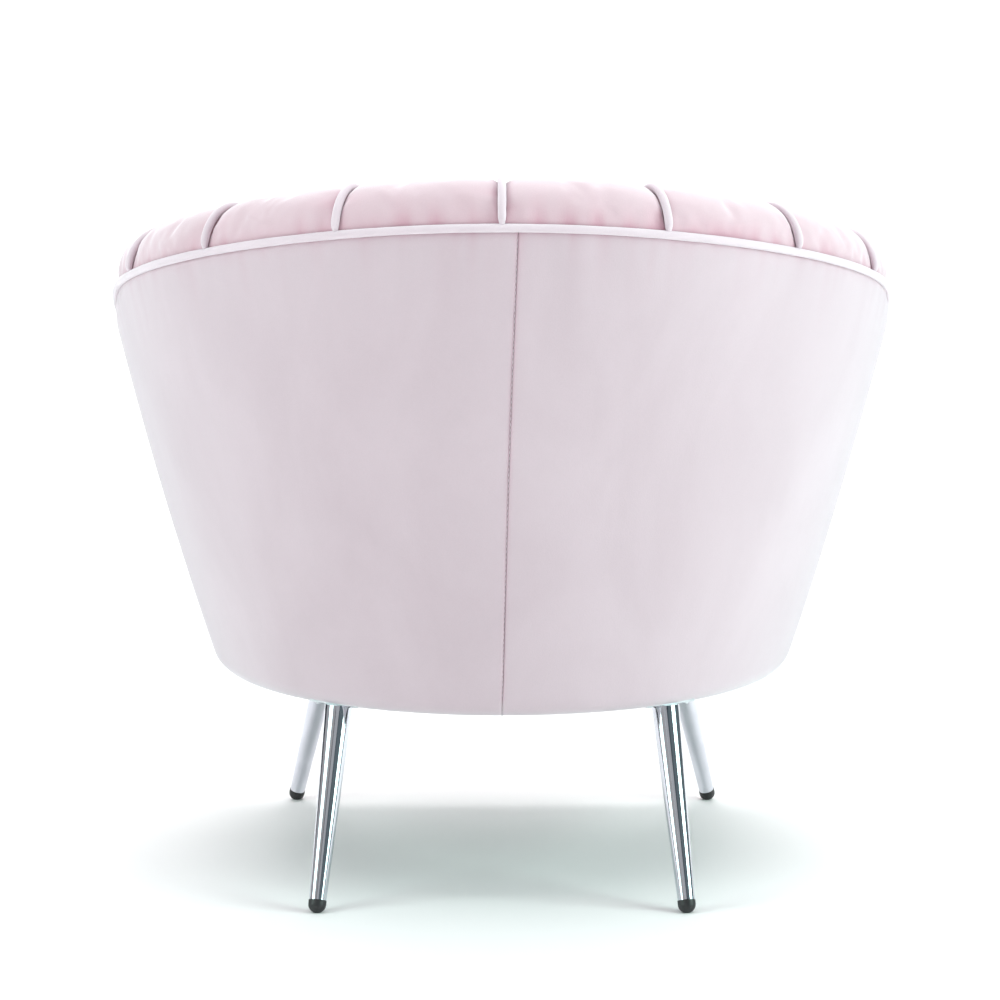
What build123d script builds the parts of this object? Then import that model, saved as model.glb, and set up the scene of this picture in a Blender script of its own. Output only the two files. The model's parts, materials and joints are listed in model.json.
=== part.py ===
from build123d import *

from bisect import bisect_left
from math import cos, hypot, pi, radians, sin
import os

# Channel-back tub chair on four splayed chrome legs, in millimetres.
#
# +Z is up, the sitter faces -Y, and the sitter's left is +X.  The origin is on the floor, under the
# middle of the chair's bounding box.
#
# The upholstered wall is drawn in its own coordinates.  Girth is measured round the body's underside
# from the middle of the back, forwards along the left arm.  Depth is measured inwards from the outer
# face, which leans out as it rises.  Everything on the right is a mirror image of the left.

# ---- driving dimensions ---------------------------------------------------------------------------
CENTRE_Y = -113.0  # plan centre of the shell, so that the bounding box is centred on Y
BASE_Z = 187.0  # underside of the upholstered body
HALF_WIDTH = 297.5  # of the body's underside
BACK_REACH = 346.0  # plan centre to the rear edge of the underside
ARM_REACH = 900.0  # plan semi-axis that lets the arms run nearly straight forwards
SIDE_LEAN, BACK_LEAN = 0.282, 0.25  # outward lean of the arms and the back, per unit of height

RIM_BACK_Z = 646.0  # outer seam of the rim at the middle of the back
RIM_FALL = (0.225, -2.0e-4, 4.5e-7)  # fall of the seam with forward travel: linear, square and cubic parts
ARM_FRONT, ARM_FRONT_LEAN = -172.0, 0.2  # front seam of the arm at the underside, and its lean back
CORNER = 95.0  # length of rim and of front seam that the rounded corner takes up

CHANNEL_PITCH = 153.0  # width of a channel, along the rim
CROWN = 9.0  # how far the middle of a channel stands above its edges
ROLL_DEPTH, ROLL_RISE = 77.0, 31.0  # size of the padded roll at a channel's edge
SEAM_GAP = 4.6  # half the room left for the rim piping
PIPING_R, PIPING_PROUD = 4.0, 2.0  # cord in its welt, and how far its middle stands out of the groove

COVER_T = 4.0  # velvet on its fleece
HEM = 18.0  # rounding of the body's lower edge
BOARD = (4.4, 7.9)  # depths of the outer board
FRAME = (9.0, 46.0)  # depths of the timber frame
LINER = (46.4, 50.0)  # depths of the inner board
PAD_BACK = 50.6  # depth of the back of the channel padding
SEAT_RAIL = (46.4, 68.0)  # depths of the curved seat rail
RAIL_H = 42.0  # height of the timber that carries the rim
GAP = 0.4  # clearance between neighbouring pieces

PANEL_Z = (BASE_Z + 5.2, BASE_Z + 26.0)  # base panel
SEAT_RAIL_Z = (250.0, 288.0)
DECK_Z = (288.4, 300.0)
PAD_FOOT_Z = 292.0  # lower end of the channel padding
CUSHION_Z = (300.4, 428.0)
CUSHION_FRONT, CUSHION_DEPTH = -236.0, 96.0
CUSHION_ROUND = 20.0

LEG_TOP_Z, LEG_R, LEG_WALL = BASE_Z + 2.0, (7.9, 13.5), 1.4
GLIDE_R, GLIDE_CENTRE_Z, GLIDE_LEN = 8.6, 7.6, 12.0
LEG_FEET = {"front": (232.0, -165.0), "rear": (176.0, 342.0)}  # plan points, from the plan centre
LEG_LEANS = {"front": (0.245, -0.29), "rear": (0.1, 0.365)}  # outward travel per unit of fall
STUD_R = 4.0
PLATE_T, PLATE_SIZE, SCREW_R = 2.5, (58.0, 32.0), 1.8

os.makedirs("parts", exist_ok=True)


# ---- the wall's coordinates -----------------------------------------------------------------------
def plan_curve(bearing):
    """Point and outward normal of the underside's outline; a bearing of 0 is the middle of the back."""
    reach = BACK_REACH if cos(bearing) >= 0 else ARM_REACH
    x, y = HALF_WIDTH * sin(bearing), reach * cos(bearing)
    nx, ny = x / HALF_WIDTH**2, y / reach**2
    return x, y, nx / hypot(nx, ny), ny / hypot(nx, ny)


BEARINGS = [radians(i / 4) for i in range(480)]
GIRTHS = [0.0]
for before, after in zip(BEARINGS, BEARINGS[1:]):
    a, b = plan_curve(before), plan_curve(after)
    GIRTHS.append(GIRTHS[-1] + hypot(b[0] - a[0], b[1] - a[1]))


def bearing_at(girth):
    i = min(max(bisect_left(GIRTHS, girth), 1), len(GIRTHS) - 1)
    share = (girth - GIRTHS[i - 1]) / (GIRTHS[i] - GIRTHS[i - 1])
    return BEARINGS[i - 1] + share * (BEARINGS[i] - BEARINGS[i - 1])


def wall(girth, z, depth=0.0):
    """A point of the wall, as x, y, z."""
    bearing = bearing_at(abs(girth))
    x, y, nx, ny = plan_curve(bearing)
    lean = SIDE_LEAN * sin(bearing) ** 2 + BACK_LEAN * cos(bearing) ** 2
    out = lean * (z - BASE_Z) - depth
    side = -1 if girth < 0 else 1
    return side * (x + nx * out), y + ny * out + CENTRE_Y, z


def rim_z(girth):
    """Height of the outer seam: a gentle curve when seen from the side."""
    rear_y, z = wall(0, RIM_BACK_Z)[1], RIM_BACK_Z
    for _ in range(12):
        forward = rear_y - wall(girth, z)[1]
        z = RIM_BACK_Z - sum(part * forward ** (n + 1) for n, part in enumerate(RIM_FALL))
    return z


def seam_girths(count):
    """Girths of the channel seams, evenly spaced along the rim."""
    seams, walked, girth, here = [0.0], 0.0, 0.0, wall(0, rim_z(0))
    while len(seams) < count:
        girth += 1.0
        there = wall(girth, rim_z(girth))
        walked += hypot(there[0] - here[0], there[1] - here[1], there[2] - here[2])
        here = there
        if walked >= CHANNEL_PITCH * len(seams):
            seams.append(girth)
    return seams


SEAMS = seam_girths(5)
WIDEST = GIRTHS[360]
FRONT = WIDEST - ARM_FRONT  # the arms run straight, so girth and travel agree there


def front_girth(z):
    """Girth of the arm's front seam at a height."""
    return FRONT - ARM_FRONT_LEAN * (z - BASE_Z)


def corner_girth():
    """Girth where the rim and the front seam would meet if the corner were sharp."""
    girth = FRONT - 100.0
    for _ in range(12):
        girth = front_girth(rim_z(girth))
    return girth


SHARP = corner_girth()
TURN_IN = SHARP - CORNER  # girth where the rim starts to turn down
FALL = hypot(1, ARM_FRONT_LEAN)


def arm_seam(walk):
    """Girth and height of the seam, this far from the last channel seam: rim, corner, arm front."""
    rim_run = TURN_IN - SEAMS[-1]
    if walk <= rim_run:
        girth = SEAMS[-1] + walk
        return girth, rim_z(girth)
    corner_end = (SHARP + ARM_FRONT_LEAN * CORNER, rim_z(SHARP) - CORNER)
    t = (walk - rim_run) / (1.6 * CORNER)
    if t <= 1:
        start, sharp = (TURN_IN, rim_z(TURN_IN)), (SHARP, rim_z(SHARP))
        return tuple((1 - t) ** 2 * a + 2 * t * (1 - t) * b + t * t * c
                     for a, b, c in zip(start, sharp, corner_end))
    z = corner_end[1] - (walk - rim_run - 1.6 * CORNER) / FALL
    return front_girth(z), z


def walk_to(z):
    """How far along the arm's seam its front comes down to a height."""
    corner_end_z = rim_z(SHARP) - CORNER
    return TURN_IN - SEAMS[-1] + 1.6 * CORNER + (corner_end_z - z) * FALL


class Station:
    """One section through the padded wall: a seam point and the way from it down to the padding's foot."""

    def __init__(self, seam, foot):
        self.seam, self.foot = seam, foot
        self.run = hypot(seam[0] - foot[0], seam[1] - foot[1])
        self.way = ((seam[0] - foot[0]) / self.run, (seam[1] - foot[1]) / self.run)

    def at(self, rise, depth):
        """A point this far beyond the seam and this deep in the wall."""
        girth = self.seam[0] + rise * self.way[0]
        return Vector(*wall(girth, self.seam[1] + rise * self.way[1], depth))


def back_station(girth, foot_z=PAD_FOOT_Z):
    return Station((girth, rim_z(girth)), (girth, foot_z))


def arm_station(walk, start=0.0, foot_z=PAD_FOOT_Z):
    """A station of the arm, whose sections fan out from the foot of the last channel seam."""
    share = (walk - start) / (walk_to(foot_z) - start)
    return Station(arm_seam(walk), (SEAMS[-1] + start + 60 * share, foot_z))


def front_station(z):
    """A level station of the arm's front, below the foot of the padding."""
    return Station((front_girth(z), z), (front_girth(z) - 60, z))


# ---- making solids --------------------------------------------------------------------------------
def save(shape, name):
    """Write one node, and say what it holds."""
    export_step(shape, f"parts/{name}.step")
    print(f"{name}: {len(shape.solids())} solids, {shape.volume / 1000:.1f} cm3, valid {shape.is_valid}")


def spread(start, end, count):
    return [start + (end - start) * i / (count - 1) for i in range(count)]


def slab(depths, low, high, start, end, pitch=60.0):
    """A curved board between two depths; low and high are heights or rules for a height."""
    sections = []
    for girth in spread(start, end, max(2, round(abs(end - start) / pitch) + 1)):
        z0, z1 = (edge(abs(girth)) if callable(edge) else edge for edge in (low, high))
        corners = [(z0, depths[0]), (z1, depths[0]), (z1, depths[1]), (z0, depths[1])]
        sections.append(Wire.make_polygon([wall(girth, z, d) for z, d in corners], close=True))
    return Solid.make_loft(sections)


def tube(path, radius=PIPING_R, spans=1):
    """A round cord along a curve, made in spans so that each of its faces stays short."""
    cuts = spread(0.0, 1.0, spans + 1)
    route = Wire([path.trim(a, b) for a, b in zip(cuts, cuts[1:])]) if spans > 1 else path
    return sweep(Plane(path @ 0, z_dir=path % 0) * Circle(radius), path=route)


def rim_minus(drop):
    return lambda girth: rim_z(girth) - drop


def closed(*pieces):
    """One wire from curves that follow each other."""
    return Wire([edge for piece in pieces for edge in piece.edges()])


def front_trim():
    """Everything beyond the rounded corner and the front seam of both arms."""
    stations = [arm_station(w) for w in spread(TURN_IN - SEAMS[-1], walk_to(PAD_FOOT_Z), 11)]
    stations += [front_station(z) for z in (250, 210, 170)]
    line = [Vector(0, edge.Y, edge.Z) for edge in (s.at(-1.3 * SEAM_GAP, 0) for s in stations)]
    far = [Vector(0, -700, line[-1].Z), Vector(0, -700, 900), Vector(0, line[0].Y, 900)]
    outline = closed(Spline(*line), Polyline(line[-1], *far, line[0]))
    return extrude(Face(outline), 600, dir=(1, 0, 0), both=True)


FRONT_TRIM = front_trim()


def both_sides(shape, name):
    save(shape, f"{name}_left")
    save(mirror(shape, Plane.YZ), f"{name}_right")


def joined(solid):
    """A left half made whole."""
    return solid + mirror(solid, Plane.YZ)


# ---- legs -----------------------------------------------------------------------------------------
def leg_axis(place):
    """Foot point and unit direction of a left leg."""
    (fx, fy), (lx, ly) = LEG_FEET[place], LEG_LEANS[place]
    return Vector(fx, fy + CENTRE_Y, 0), Vector(-lx, -ly, 1).normalized()


def along(place, start, length, r0, r1):
    """A cone on the leg's axis."""
    foot, way = leg_axis(place)
    plane = Plane(foot + way * start, z_dir=way)
    if abs(r0 - r1) < 1e-6:
        return plane * Cylinder(r0, length, align=(Align.CENTER, Align.CENTER, Align.MIN))
    return plane * Cone(r0, r1, length, align=(Align.CENTER, Align.CENTER, Align.MIN))


def plate_frame(place):
    """Plane of a leg plate: its X runs along the body's edge, its Y points outwards."""
    foot, way = leg_axis(place)
    top = foot + way * (LEG_TOP_Z / way.Z)
    shift = {"front": 0.0, "rear": -7.0}[place]
    turn = {"front": 0.0, "rear": 55.0}[place]
    outwards = Vector(cos(radians(turn)), sin(radians(turn)), 0)
    return Plane(top + outwards * shift, x_dir=(-outwards.Y, outwards.X, 0), z_dir=(0, 0, 1)), top


SCREW_SPOTS = [(sx * 22.0, sy * 10.0) for sx in (-1, 1) for sy in (-1, 1)]
upright = (Align.CENTER, Align.CENTER, Align.MIN)
bores, sockets, screws = [], [], []
for place in ("front", "rear"):
    foot, way = leg_axis(place)
    length = LEG_TOP_Z / way.Z
    taper = (LEG_R[1] - LEG_R[0]) / length
    r_low = LEG_R[0] + taper * GLIDE_LEN
    tube_len = length + 12 - GLIDE_LEN
    outer = along(place, GLIDE_LEN, tube_len, r_low, r_low + taper * tube_len)
    hollow_len = length - 14 - GLIDE_LEN
    hollow = along(place, GLIDE_LEN, hollow_len, r_low - LEG_WALL, r_low - LEG_WALL + taper * hollow_len)
    below = Pos(foot.X, foot.Y, LEG_TOP_Z) * Box(400, 400, 200, align=(Align.CENTER, Align.CENTER, Align.MAX))
    stud = along(place, length - 12, 34, STUD_R, STUD_R)
    both_sides(((outer - hollow) & below) + stud, f"leg_{place}")

    centre = foot + way * (GLIDE_CENTRE_Z / way.Z)
    plug = along(place, GLIDE_CENTRE_Z / way.Z, GLIDE_LEN + 9 - GLIDE_CENTRE_Z / way.Z, 5.8, 5.8)
    collar = along(place, GLIDE_CENTRE_Z / way.Z, GLIDE_LEN - 0.3 - GLIDE_CENTRE_Z / way.Z, GLIDE_R, GLIDE_R)
    glide = Pos(*centre) * Sphere(GLIDE_R) + collar - along(place, GLIDE_LEN - 0.3, 10, 12, 12) + plug
    glide -= Pos(foot.X, foot.Y, 0) * Box(100, 100, 40, align=(Align.CENTER, Align.CENTER, Align.MAX))
    both_sides(glide, f"glide_{place}")

    frame, top = plate_frame(place)
    plate = frame * Pos(0, 0, GAP / 2) * Box(*PLATE_SIZE, PLATE_T, align=upright)
    bores.append(along(place, length - 20, 60, STUD_R + GAP, STUD_R + GAP))
    for spot in SCREW_SPOTS:
        bores.append(frame * Pos(*spot, -10) * Cylinder(SCREW_R + GAP, 34, align=upright))
        head = frame * Pos(*spot, GAP / 4) * Cylinder(3.4, 2.0, align=(Align.CENTER, Align.CENTER, Align.MAX))
        screws.append(head + frame * Pos(*spot, -1) * Cylinder(SCREW_R, 19, align=upright))
    for bore in bores[-5:]:
        plate -= bore
    both_sides(plate, f"leg_plate_{place}")
    socket = along(place, length - 16, 32, LEG_R[1] + 1.2, LEG_R[1] + 1.2)
    recess = frame * Pos(0, 0, -2.6) * Box(PLATE_SIZE[0] + 1, PLATE_SIZE[1] + 1, 12, align=upright)
    sockets.append((socket, recess))

screws += [mirror(s, Plane.YZ) for s in screws]
bores += [mirror(b, Plane.YZ) for b in bores]
sockets += [(mirror(s, Plane.YZ), mirror(r, Plane.YZ)) for s, r in sockets]
save(Compound(children=screws), "plate_screws")


def bored(shape):
    for bore in bores:
        shape = shape - bore
    return shape


# ---- timber frame and boards ----------------------------------------------------------------------
outline = [wall(g, BASE_Z, 22.0)[:2] for g in spread(-(FRONT - 26.5), FRONT - 26.5, 21)]
panel_face = Face(closed(Spline(*outline), Line(outline[-1], outline[0])))
panel = Pos(0, 0, PANEL_Z[0]) * extrude(panel_face, PANEL_Z[1] - PANEL_Z[0], dir=(0, 0, 1))
access = Pos(0, CENTRE_Y + 80, PANEL_Z[0] - 5) * extrude(RectangleRounded(230, 250, 60), 60)
save(bored(panel - access), "base_panel")

front_y = wall(FRONT, BASE_Z)[1]
RAIL_TOP = SEAT_RAIL_Z[1]


def between_arms(depth, z0, z1, y0, y1):
    """An upright board across the front, its ends cut to the lean of the arms."""
    corners = [(wall(front_girth(z), z, depth)[0], z) for z in (z0, z1)]
    outline = [(corners[0][0], z0), (corners[1][0], z1), (-corners[1][0], z1), (-corners[0][0], z0)]
    face = Plane.XZ * make_face(Polyline(*outline, close=True))
    return Pos(0, y1, 0) * extrude(face, y1 - y0)


rail_front, rail_back = front_y + 26.0, front_y + 46.0
save(between_arms(SEAT_RAIL[0] + 2, PANEL_Z[1] + GAP, RAIL_TOP, rail_front, rail_back), "front_seat_rail")
rail_end = FRONT - 90.0
save(joined(slab(SEAT_RAIL, *SEAT_RAIL_Z, 0.0, rail_end)), "seat_rail")

save(joined(slab(FRAME, rim_minus(RAIL_H), rim_minus(1.0), 0.0, SEAMS[-1])), "rim_rail")
bow = [arm_station(walk, GAP) for walk in spread(GAP, walk_to(PAD_FOOT_Z), 9)]
bow += [front_station(z) for z in (255.0, PANEL_Z[1] + GAP)]
corners = ((-1.0, FRAME[0]), (-1.0, FRAME[1]), (-RAIL_H, FRAME[1]), (-RAIL_H, FRAME[0]))
bow_sections = [Wire.make_polygon([station.at(*c) for c in corners], close=True) for station in bow]
both_sides(Solid.make_loft(bow_sections), "arm_bow")
for k, name in ((0, "centre"), (2, "")):
    rib = slab(FRAME, PANEL_Z[1] + GAP, rim_minus(RAIL_H + GAP), SEAMS[k] - 14, SEAMS[k] + 14, 14)
    if name:
        save(rib, f"rib_{name}")
    else:
        both_sides(rib, "rib")

both_sides(slab(BOARD, PANEL_Z[1], rim_minus(SEAM_GAP), GAP, FRONT + 60) - FRONT_TRIM, "outer_board")
save(joined(slab(LINER, PAD_FOOT_Z, rim_minus(2.0), 0.0, FRONT + 60) - FRONT_TRIM), "inner_board")

# ---- springs and deck -----------------------------------------------------------------------------
springs, clips = [], []
spring_z, wire_r, swing, turns = SEAT_RAIL_Z[1] - 6.0, 1.9, 20.0, 9
for i, x in enumerate((-165.0, -55.0, 55.0, 165.0)):
    girth = next(g for g in range(0, 400) if wall(g, spring_z, SEAT_RAIL[1])[0] >= abs(x) + 10)
    ends = rail_back + 6.0, wall(girth, spring_z, SEAT_RAIL[1])[1] - 6.0
    rows = spread(ends[0] + 12, ends[1] - 12, turns)
    bends = [(x + (swing if n % 2 else -swing), y, spring_z) for n, y in enumerate(rows)]
    path = Spline((x, ends[0], spring_z), *bends, (x, ends[1], spring_z))
    save(sweep(Plane(path @ 0, z_dir=path % 0) * Circle(wire_r), path=path), f"spring_{i + 1}")
    for end, away in zip(ends, (-1, 1)):
        clips.append(Pos(x, end + away * 3.8, spring_z) * Box(16, 3.0, 9))
save(Compound(children=clips), "spring_clips")

deck_line = [wall(g, DECK_Z[0], CUSHION_DEPTH - 1)[:2] for g in spread(-FRONT - 4, FRONT + 4, 21)]
deck_face = Face(closed(Spline(*deck_line), Line(deck_line[-1], deck_line[0])))
save(Pos(0, 0, DECK_Z[0]) * extrude(deck_face, DECK_Z[1] - DECK_Z[0], dir=(0, 0, 1)), "deck_pad")
cover_front = front_y - 30.0
face_pad = between_arms(CUSHION_DEPTH, BASE_Z + 0.4, DECK_Z[0] - GAP, cover_front, rail_front - GAP)
save(fillet(face_pad.edges().group_by(Axis.Y)[0], 10), "front_cover")

# ---- outer covers and dust cover ------------------------------------------------------------------
def cover_section(girth):
    """The velvet at one girth: up the outer face from under the rounded hem."""
    def at(depth, z):
        return Vector(*wall(girth, z, depth))

    top, arc = rim_z(girth) - SEAM_GAP, HEM * (1 - cos(pi / 4))
    inner = (HEM - COVER_T * 0.55) * (1 - cos(pi / 4))
    t = COVER_T * 0.45
    return Wire([
        Line(at(COVER_T, top), at(0, top)),
        Line(at(0, top), at(0, BASE_Z + HEM)),
        ThreePointArc(at(0, BASE_Z + HEM), at(arc, BASE_Z + arc), at(HEM, BASE_Z)),
        Line(at(HEM, BASE_Z), at(HEM + 22, BASE_Z)),
        Line(at(HEM + 22, BASE_Z), at(HEM + 22, BASE_Z + t)),
        Line(at(HEM + 22, BASE_Z + t), at(HEM, BASE_Z + t)),
        ThreePointArc(at(HEM, BASE_Z + t), at(arc + t, BASE_Z + arc + t), at(COVER_T, BASE_Z + HEM)),
        Line(at(COVER_T, BASE_Z + HEM), at(COVER_T, top)),
    ])


cover = Solid.make_loft([cover_section(girth) for girth in spread(0.25, FRONT + 60, 13)]) - FRONT_TRIM
for socket, recess in sockets[:2]:
    cover = cover - socket - recess
both_sides(cover, "outer_cover")

dust_line = [wall(g, BASE_Z, 26.0)[:2] for g in spread(-(FRONT - 22), FRONT - 22, 21)]
dust_face = Face(closed(Spline(*dust_line), Line(dust_line[-1], dust_line[0])))
dust = Pos(0, 0, BASE_Z - 1.7) * extrude(dust_face, 0.7, dir=(0, 0, 1))
for socket, _ in sockets:
    dust = dust - socket
save(dust, "dust_cover")


# ---- channel pads and pipings ---------------------------------------------------------------------
def roll(crown, lift=0.0):
    """Depths and rises of the padded roll, from the outer seam over to the inner face."""
    profile = []
    for step in range(9):
        turn = pi * step / 8
        swell = crown * min(1.0, 1.6 * sin(turn)) if step < 5 else crown
        half = ROLL_DEPTH / 2 + lift
        rise = SEAM_GAP + (ROLL_RISE + lift + crown) * sin(turn)
        plumb = SIDE_LEAN * rise * cos(turn / 2) ** 2  # the roll's outer side does not lean out
        profile.append((1.5 + ROLL_DEPTH / 2 - (half + swell) * cos(turn) + plumb, rise))
    return profile


def pad_section(station, crown, run=None):
    """Closed hook of padding: over the rim, down the face, and back up behind."""
    run = station.run if run is None else run
    over = [station.at(rise, depth) for depth, rise in roll(crown)]
    face = roll(crown)[-1][0]
    rest = [station.at(-run, face), station.at(-run, PAD_BACK), station.at(SEAM_GAP, PAD_BACK)]
    return closed(Spline(*over), Polyline(over[-1], *rest, over[0]))


GROOVE = PIPING_R + 0.6  # half the room left between two pads for their piping


def swell_at(share):
    return CROWN * sin(pi * share) ** 0.6


def channel_pad(k):
    """The pad between two seams of the back."""
    edges = SEAMS[k] + GROOVE, SEAMS[k + 1] - GROOVE
    sections = []
    for share in (0.0, 0.15, 0.5, 0.85, 1.0):
        station = back_station(edges[0] + share * (edges[1] - edges[0]))
        sections.append(pad_section(station, swell_at(share)))
    return Solid.make_loft(sections)


def arm_pad():
    """The last pad, which turns down the front of the arm as a roll."""
    walks = [GROOVE, 26] + spread(60, walk_to(PAD_FOOT_Z), 9)
    swells = [0.0, 0.7 * CROWN] + [CROWN] * 9
    fan = Solid.make_loft([pad_section(arm_station(w, GROOVE), s) for w, s in zip(walks, swells)])
    hooks = []
    for z in spread(PAD_FOOT_Z, BASE_Z + 1, 3):
        over = [front_station(z).at(rise, depth) for depth, rise in roll(CROWN)]
        hooks.append(closed(Spline(*over), Line(over[-1], over[0])))
    return fan + Solid.make_loft(hooks)


for k in range(4):
    both_sides(channel_pad(k), f"pad_{k + 1}")
both_sides(arm_pad(), "pad_5")

for k, girth in enumerate(SEAMS):
    station = back_station(girth)
    over = [station.at(rise + 0.4, depth) for depth, rise in roll(0.0, PIPING_PROUD)]
    foot = station.at(-station.run + 12, roll(0.0, PIPING_PROUD)[-1][0])
    ends = (station.at(10, 0) - station.at(0, 0), foot - over[-1])
    piping = tube(Wire([Spline(*over, tangents=ends), Line(over[-1], foot)]))
    if k:
        both_sides(piping, f"channel_piping_{k}")
    else:
        save(piping, "channel_piping_centre")

arm_line = [Vector(*wall(*arm_seam(w), 2.5)) for w in spread(30, walk_to(BASE_Z + 2), 16)]
back_line = [Vector(*wall(g, rim_z(g), 2.5)) for g in spread(0, SEAMS[-1], 12)]
left_line = back_line + arm_line
right_line = [Vector(-p.X, p.Y, p.Z) for p in reversed(left_line[1:])]
save(tube(Spline(*right_line, *left_line), spans=44), "rim_piping")


# ---- loose seat cushion ---------------------------------------------------------------------------
def cushion_loop(z, inset):
    """Outline of the cushion at a height: it follows the wall, then rounds forward between the arms."""
    depth = CUSHION_DEPTH + inset
    reach = FRONT - 45.0
    points = [wall(g, z, depth)[:2] for g in spread(-reach, reach, 15)]
    half, side_y = points[-1]
    nose = CENTRE_Y + CUSHION_FRONT + inset
    for share in (28, 58, 90, 122, 152):
        turn = radians(share)
        bulge = (abs(cos(turn)) ** 0.42) * (1 if turn < pi / 2 else -1), sin(turn) ** 0.55
        points.append((half * bulge[0], side_y - (side_y - nose) * bulge[1]))
    return points


def cushion_block(inset):
    levels = CUSHION_Z[0] + inset, CUSHION_Z[1] - inset
    rings = [Wire([Spline(*[(x, y, z) for x, y in cushion_loop(z, inset)], periodic=True)]) for z in levels]
    block = Solid.make_loft(rings)
    return fillet(block.edges(), CUSHION_ROUND - inset)


cover, core = cushion_block(0.0), cushion_block(2.6)
save(core, "cushion_core")
save(cover - cushion_block(2.2), "cushion_cover")
# The sides lean out, so the lower edge is blunter than the upper one and its piping sits further out.
for name, z, inset in (("top", CUSHION_Z[1] - 2.8, 2.8), ("bottom", CUSHION_Z[0] + PIPING_R + 0.4, -2.4)):
    ring = Spline(*[(x, y, z) for x, y in cushion_loop(z, inset)], periodic=True)
    save(tube(ring, spans=24), f"cushion_piping_{name}")
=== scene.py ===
"""Looks of the channel-back tub chair: velvet pads, welts, covers, cushion, chrome legs, camera and light.

Metres, in the CAD model's frame.  The padded wall is drawn in the same coordinates as the CAD: girth
round the underside from the middle of the back, height, and depth in from the outer face.
"""

import json
import math

import bmesh
import bpy
import numpy as np
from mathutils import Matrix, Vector, noise


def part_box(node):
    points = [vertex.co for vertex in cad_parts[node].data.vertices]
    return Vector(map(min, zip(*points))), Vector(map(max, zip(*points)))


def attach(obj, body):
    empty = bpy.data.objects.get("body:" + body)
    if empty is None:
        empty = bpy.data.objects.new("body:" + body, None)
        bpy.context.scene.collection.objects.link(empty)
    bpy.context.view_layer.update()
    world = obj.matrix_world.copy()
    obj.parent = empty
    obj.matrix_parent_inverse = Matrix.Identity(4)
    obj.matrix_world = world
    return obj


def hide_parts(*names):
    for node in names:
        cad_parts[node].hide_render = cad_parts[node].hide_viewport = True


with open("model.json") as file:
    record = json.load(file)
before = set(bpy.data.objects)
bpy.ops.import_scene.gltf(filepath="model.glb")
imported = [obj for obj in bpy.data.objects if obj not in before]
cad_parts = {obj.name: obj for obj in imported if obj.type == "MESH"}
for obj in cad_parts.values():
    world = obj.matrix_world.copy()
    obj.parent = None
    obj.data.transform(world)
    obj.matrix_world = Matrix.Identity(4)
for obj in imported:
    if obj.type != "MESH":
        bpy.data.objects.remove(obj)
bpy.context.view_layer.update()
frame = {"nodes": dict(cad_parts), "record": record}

# ---- the wall, as in the CAD, with the velvet standing 2 to 4 mm over it at the rim ----------------------
CENTRE_Y, BASE_Z = -0.113, 0.187
# The plan at the foot is two half ellipses: half width, reach backwards, reach forwards.
HALF_WIDTH, BACK_REACH, ARM_REACH = 0.2975, 0.346, 0.900
SIDE_LEAN, BACK_LEAN = 0.282, 0.25
BELLY = 0.12  # swell of the outer cover, by its height over the hem times its depth under the rim
# The rim's height at the back, and its fall by the distance forward, its square and its cube.
RIM_BACK_Z, RIM_FALL = 0.648, (0.225, -0.20, 0.45)
ARM_FRONT, ARM_FRONT_LEAN, CORNER = -0.172, 0.2, 0.095
CHANNEL_PITCH, CROWN = 0.153, 0.005
ROLL_DEPTH, ROLL_RISE, SEAM_GAP = 0.077, 0.035, 0.0046
PIPING_R, PIPING_PROUD, HEM = 0.004, 0.002, 0.018
PAD_FOOT_Z, PAD_BACK = 0.292, 0.0506
CUSHION_Z = (0.3004, 0.428)
CUSHION_FRONT, CUSHION_DEPTH = -0.236, 0.096
ROLL_START = 0.0015  # the roll begins this far in from the outer face
ARM_RECESS = 0.006  # how much further in the rim seam sits at the arms
ROLL_SHIFT = 1.4  # the roll's outer side follows that recess by this much
PILLOW_EDGE = -0.005  # a pad's crown under the piping at its edges
CORNER_WALK = 1.6 * CORNER  # length of the seam round the arm's corner
SETTLE_FRAMES = 20
FRONT_TURN = 0.015  # cambric stapled under the front panel

bearings = np.radians(np.arange(480) / 4)


def plan_curve(b):
    """Plan of the wall's foot at a bearing from straight back: x, y and the outward normal."""
    reach = np.where(np.cos(b) >= 0, BACK_REACH, ARM_REACH)
    x, y = HALF_WIDTH * np.sin(b), reach * np.cos(b)
    nx, ny = x / HALF_WIDTH**2, y / reach**2
    size = np.hypot(nx, ny)
    return x, y, nx / size, ny / size


px, py, _, _ = plan_curve(bearings)
girths = np.concatenate([[0.0], np.cumsum(np.hypot(np.diff(px), np.diff(py)))])


def wall(girth, z, depth=0.0):
    """Points of the wall; arrays of any matching shape give an array of points."""
    girth, z, depth = np.broadcast_arrays(np.asarray(girth, float), z, depth)
    b = np.interp(np.abs(girth), girths, bearings)
    x, y, nx, ny = plan_curve(b)
    lean = SIDE_LEAN * np.sin(b) ** 2 + BACK_LEAN * np.cos(b) ** 2
    out = lean * (z - BASE_Z) - depth
    return np.stack([np.sign(girth + 1e-12) * (x + nx * out), y + ny * out + CENTRE_Y, z], -1)


def rim_z(girth):
    """Height of the rim seam, which falls as the wall runs forwards; solved by repeating the rule."""
    rear_y = wall(0, RIM_BACK_Z)[1]
    z = np.full(np.shape(girth), RIM_BACK_Z)
    for _ in range(12):
        forward = rear_y - wall(girth, z)[..., 1]
        z = RIM_BACK_Z - sum(part * forward ** (n + 1) for n, part in enumerate(RIM_FALL))
    return z


# The channel seams stand at equal steps along the rim.
dense = np.linspace(0, 0.6, 1201)
rim_points = wall(dense, rim_z(dense))
walked = np.concatenate([[0.0], np.cumsum(np.linalg.norm(np.diff(rim_points, axis=0), axis=1))])
SEAMS = [float(np.interp(CHANNEL_PITCH * k, walked, dense)) for k in range(5)]
FRONT = float(girths[360]) - ARM_FRONT  # girths[360] is the widest point, a quarter turn round


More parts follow.
